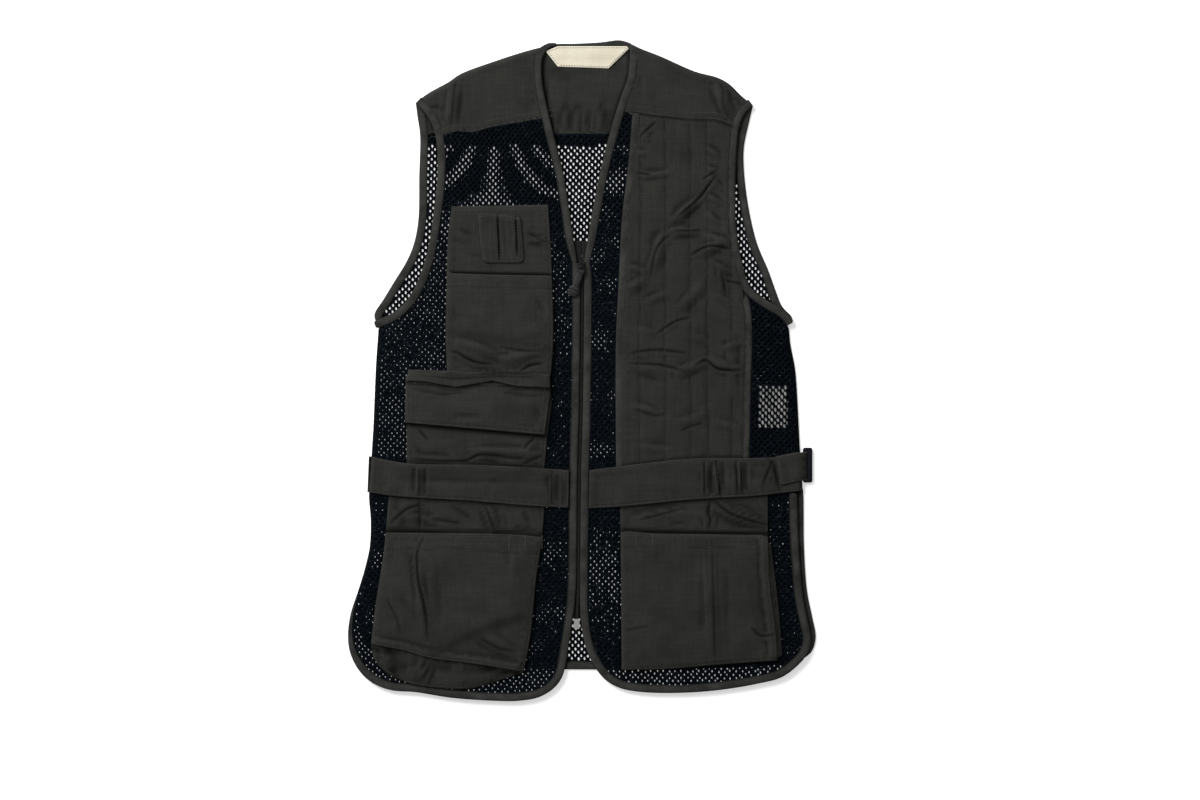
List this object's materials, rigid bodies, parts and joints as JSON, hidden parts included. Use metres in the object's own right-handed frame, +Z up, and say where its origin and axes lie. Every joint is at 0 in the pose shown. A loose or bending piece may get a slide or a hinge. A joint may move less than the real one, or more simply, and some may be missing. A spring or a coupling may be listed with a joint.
{
  "type": "shooting vest",
  "caption": "Sleeveless mesh shooting vest laid flat, with a quilted shoulder pad, patch pockets, a side-adjusted belt strip, a front zip and bound edges.",
  "frame": {"origin": "centre of the bounding box's bottom face, on the table under the middle of the laid vest", "axes": "+Y up the vest from hem to neck, +X towards the wearer's left, +Z up from the table, out of the vest's front"},
  "size_m": [0.54, 0.763, 0.0139],
  "materials": {
    "twill": "matte",
    "mesh_cloth": "matte",
    "binding_cloth": "matte",
    "label_cloth": "satin",
    "care_cloth": "satin",
    "zip_cloth": "matte",
    "zip_plastic": "satin",
    "zip_metal": "satin",
    "pull_rubber": "matte",
    "box_metal": "satin",
    "buckle_plastic": "gloss"
  },
  "bodies": {
    "vest": {"armhole_binding_L": "binding_cloth", "armhole_binding_R": "binding_cloth", "back_armhole_binding_L": "binding_cloth", "back_armhole_binding_R": "binding_cloth", "back_belt": "twill", "back_hem_binding": "binding_cloth", "back_mesh_lower": "mesh_cloth", "back_mesh_upper": "mesh_cloth", "back_neck_binding": "binding_cloth", "back_yoke": "twill", "belt_L": "twill", "belt_R": "twill", "buckle": "buckle_plastic", "care_label": "care_cloth", "chest_panel": "twill", "chest_pouch": "twill", "edge_binding_L": "binding_cloth", "edge_binding_R": "binding_cloth", "flap_pocket": "twill", "flap_strip": "twill", "front_mesh_centre_L": "mesh_cloth", "front_mesh_lower_L": "mesh_cloth", "front_mesh_lower_R": "mesh_cloth", "front_mesh_side_L": "mesh_cloth", "front_mesh_upper_R": "mesh_cloth", "front_yoke_L": "twill", "front_yoke_R": "twill", "loop_patch": "twill", "lower_pocket_L": "twill", "lower_pocket_R": "twill", "neck_binding_L": "binding_cloth", "neck_binding_R": "binding_cloth", "neck_label": "label_cloth", "pad_binding_inner": "binding_cloth", "pad_binding_outer": "binding_cloth", "pocket_back_L": "twill", "pocket_back_R": "twill", "pocket_flap": "twill", "pocket_gusset_L": "twill", "pocket_gusset_R": "twill", "shooting_pad": "twill", "side_strap": "twill", "zip_bottom_box": "box_metal", "zip_chain": "zip_plastic", "zip_slider": "zip_metal", "zip_tape_L": "zip_cloth", "zip_tape_R": "zip_cloth"},
    "pull": {"zip_pull": "pull_rubber"}
  },
  "joints": [
    {"name": "pull_hinge", "type": "hinge", "parent": "vest", "child": "pull", "pos_m": [-0.0008, 0.1205, 0.0093], "axis": [-1, 0, 0], "range_deg": [0, 170]}
  ]
}
